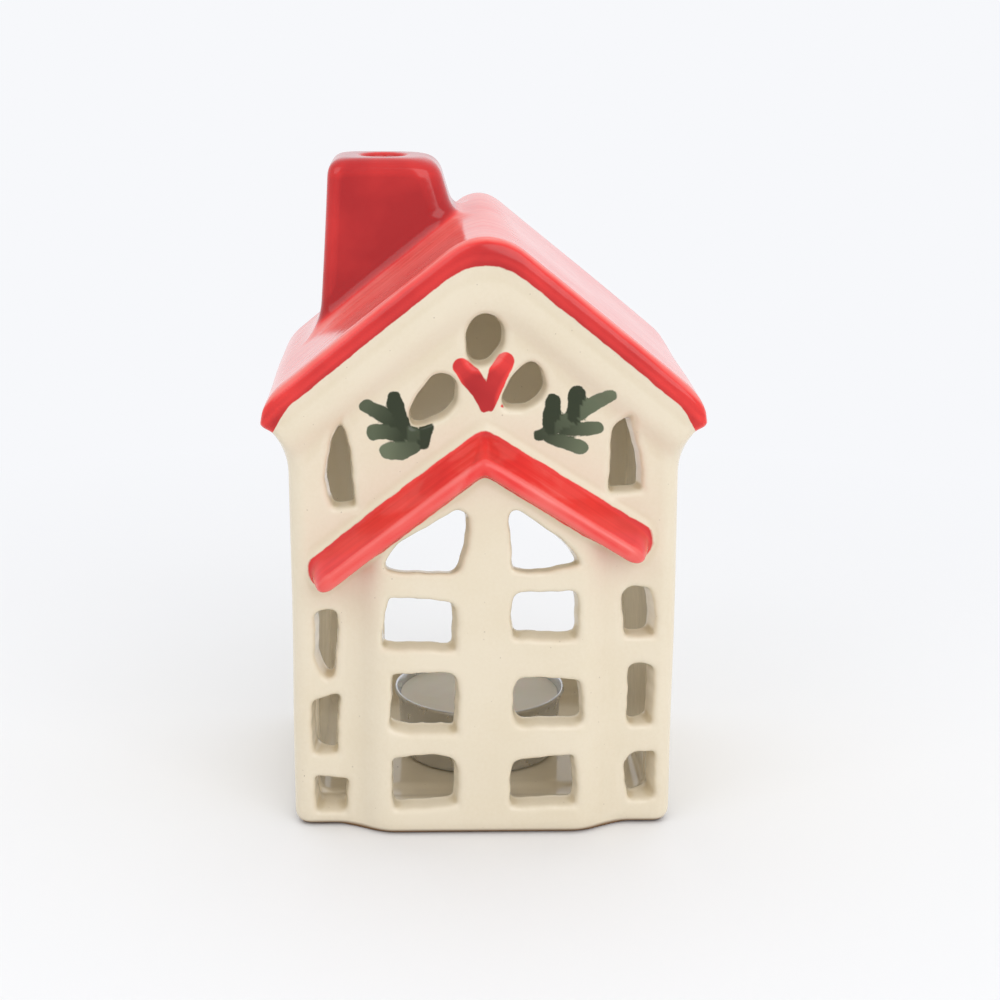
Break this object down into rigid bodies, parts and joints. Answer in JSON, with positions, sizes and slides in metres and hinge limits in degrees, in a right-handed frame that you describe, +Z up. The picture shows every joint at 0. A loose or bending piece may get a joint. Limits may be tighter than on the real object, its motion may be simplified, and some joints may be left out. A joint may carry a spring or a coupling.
{
  "type": "tealight house",
  "caption": "Glazed earthenware cottage lantern with pierced windows, painted roof and chimney, holding a tealight that lifts out through a rear doorway.",
  "frame": {"origin": "middle of the walls' footprint on the resting face", "axes": "+Z up, +X to the viewer's right when facing the front, front faces -Y"},
  "size_m": [0.0902, 0.0785, 0.136],
  "materials": {
    "cream_glaze": "clear gloss glaze on cream earthenware",
    "red_glaze": "red underglaze paint beneath clear gloss glaze",
    "tealight_aluminium": "drawn thin sheet",
    "candle_wax": "paraffin wax",
    "tinned_steel": "pressed tinplate",
    "waxed_cotton": "braided cotton coated with wax"
  },
  "bodies": {
    "house": {"front_wall": "cream_glaze", "bay_front": "cream_glaze", "back_wall": "cream_glaze", "left_wall": "cream_glaze", "right_wall": "cream_glaze", "floor_slab": "cream_glaze", "roof_left_slope": "red_glaze", "roof_right_slope": "red_glaze", "chimney": "red_glaze", "porch_roof": "red_glaze"},
    "tealight": {"tealight_cup": "tealight_aluminium", "tealight_wax": "candle_wax", "wick_sustainer": "tinned_steel", "tealight_wick": "waxed_cotton"}
  },
  "joints": [
    {"name": "tealight_withdraw", "type": "slide", "parent": "house", "child": "tealight", "axis": [0, 0.8192, 0.5736], "range_m": [0, 0.078]}
  ]
}
